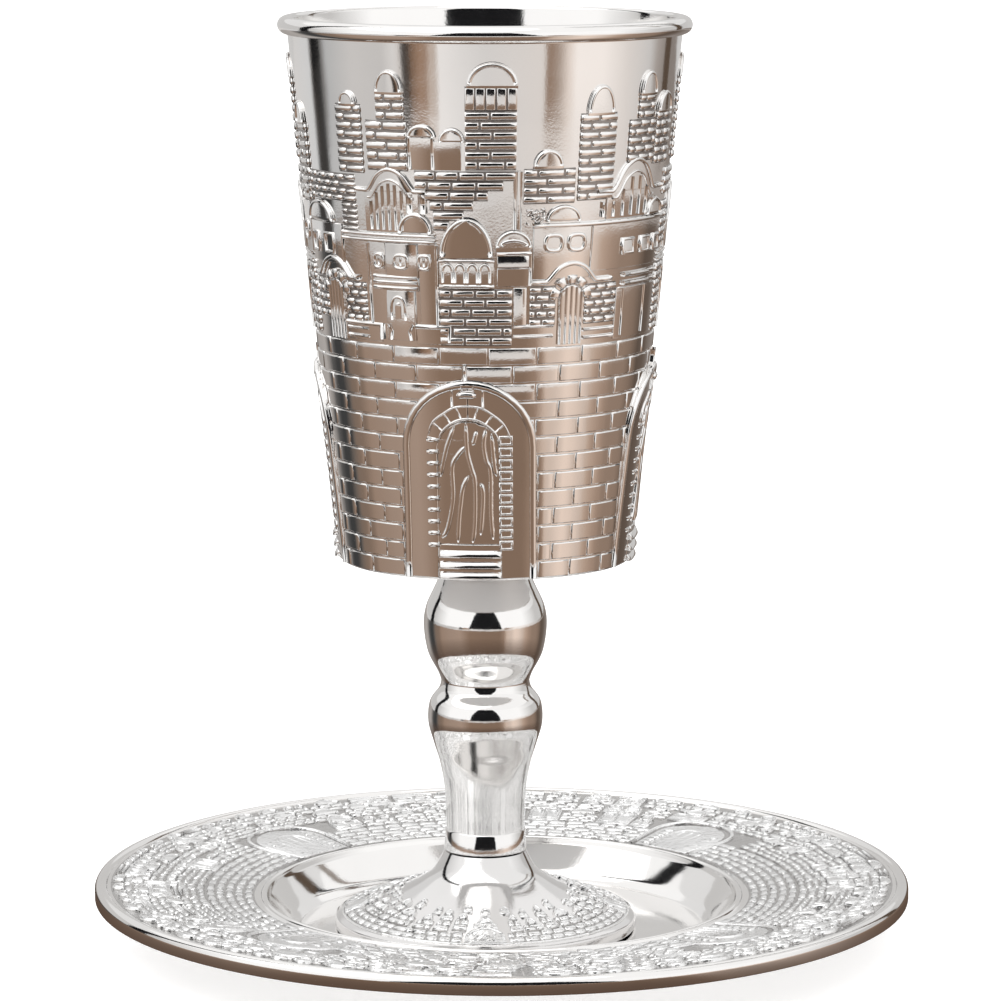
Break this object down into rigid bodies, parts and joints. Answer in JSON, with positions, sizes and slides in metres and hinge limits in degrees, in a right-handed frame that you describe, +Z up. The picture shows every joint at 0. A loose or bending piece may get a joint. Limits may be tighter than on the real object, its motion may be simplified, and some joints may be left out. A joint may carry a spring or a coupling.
{
  "type": "kiddush cup",
  "caption": "Tall silver goblet with a walled-city relief, a knopped stem and a flared foot, standing in the sunk well of a matching relief saucer.",
  "frame": {"origin": "centre of the saucer's flat underside, on the surface that the set stands on", "axes": "+Z up along the cup; -Y is the front, with one gateway of the relief nearly facing it; the cup stands 3 mm to -X of the origin"},
  "size_m": [0.15, 0.15, 0.1693],
  "materials": {
    "cup_silver": "bright polished silver plate, with low relief on the bowl and the foot",
    "saucer_silver": "bright polished silver plate, with fine relief on the border"
  },
  "bodies": {
    "root": {"saucer": "saucer_silver", "foot": "cup_silver", "stem": "cup_silver", "bowl": "cup_silver"}
  },
  "joints": []
}
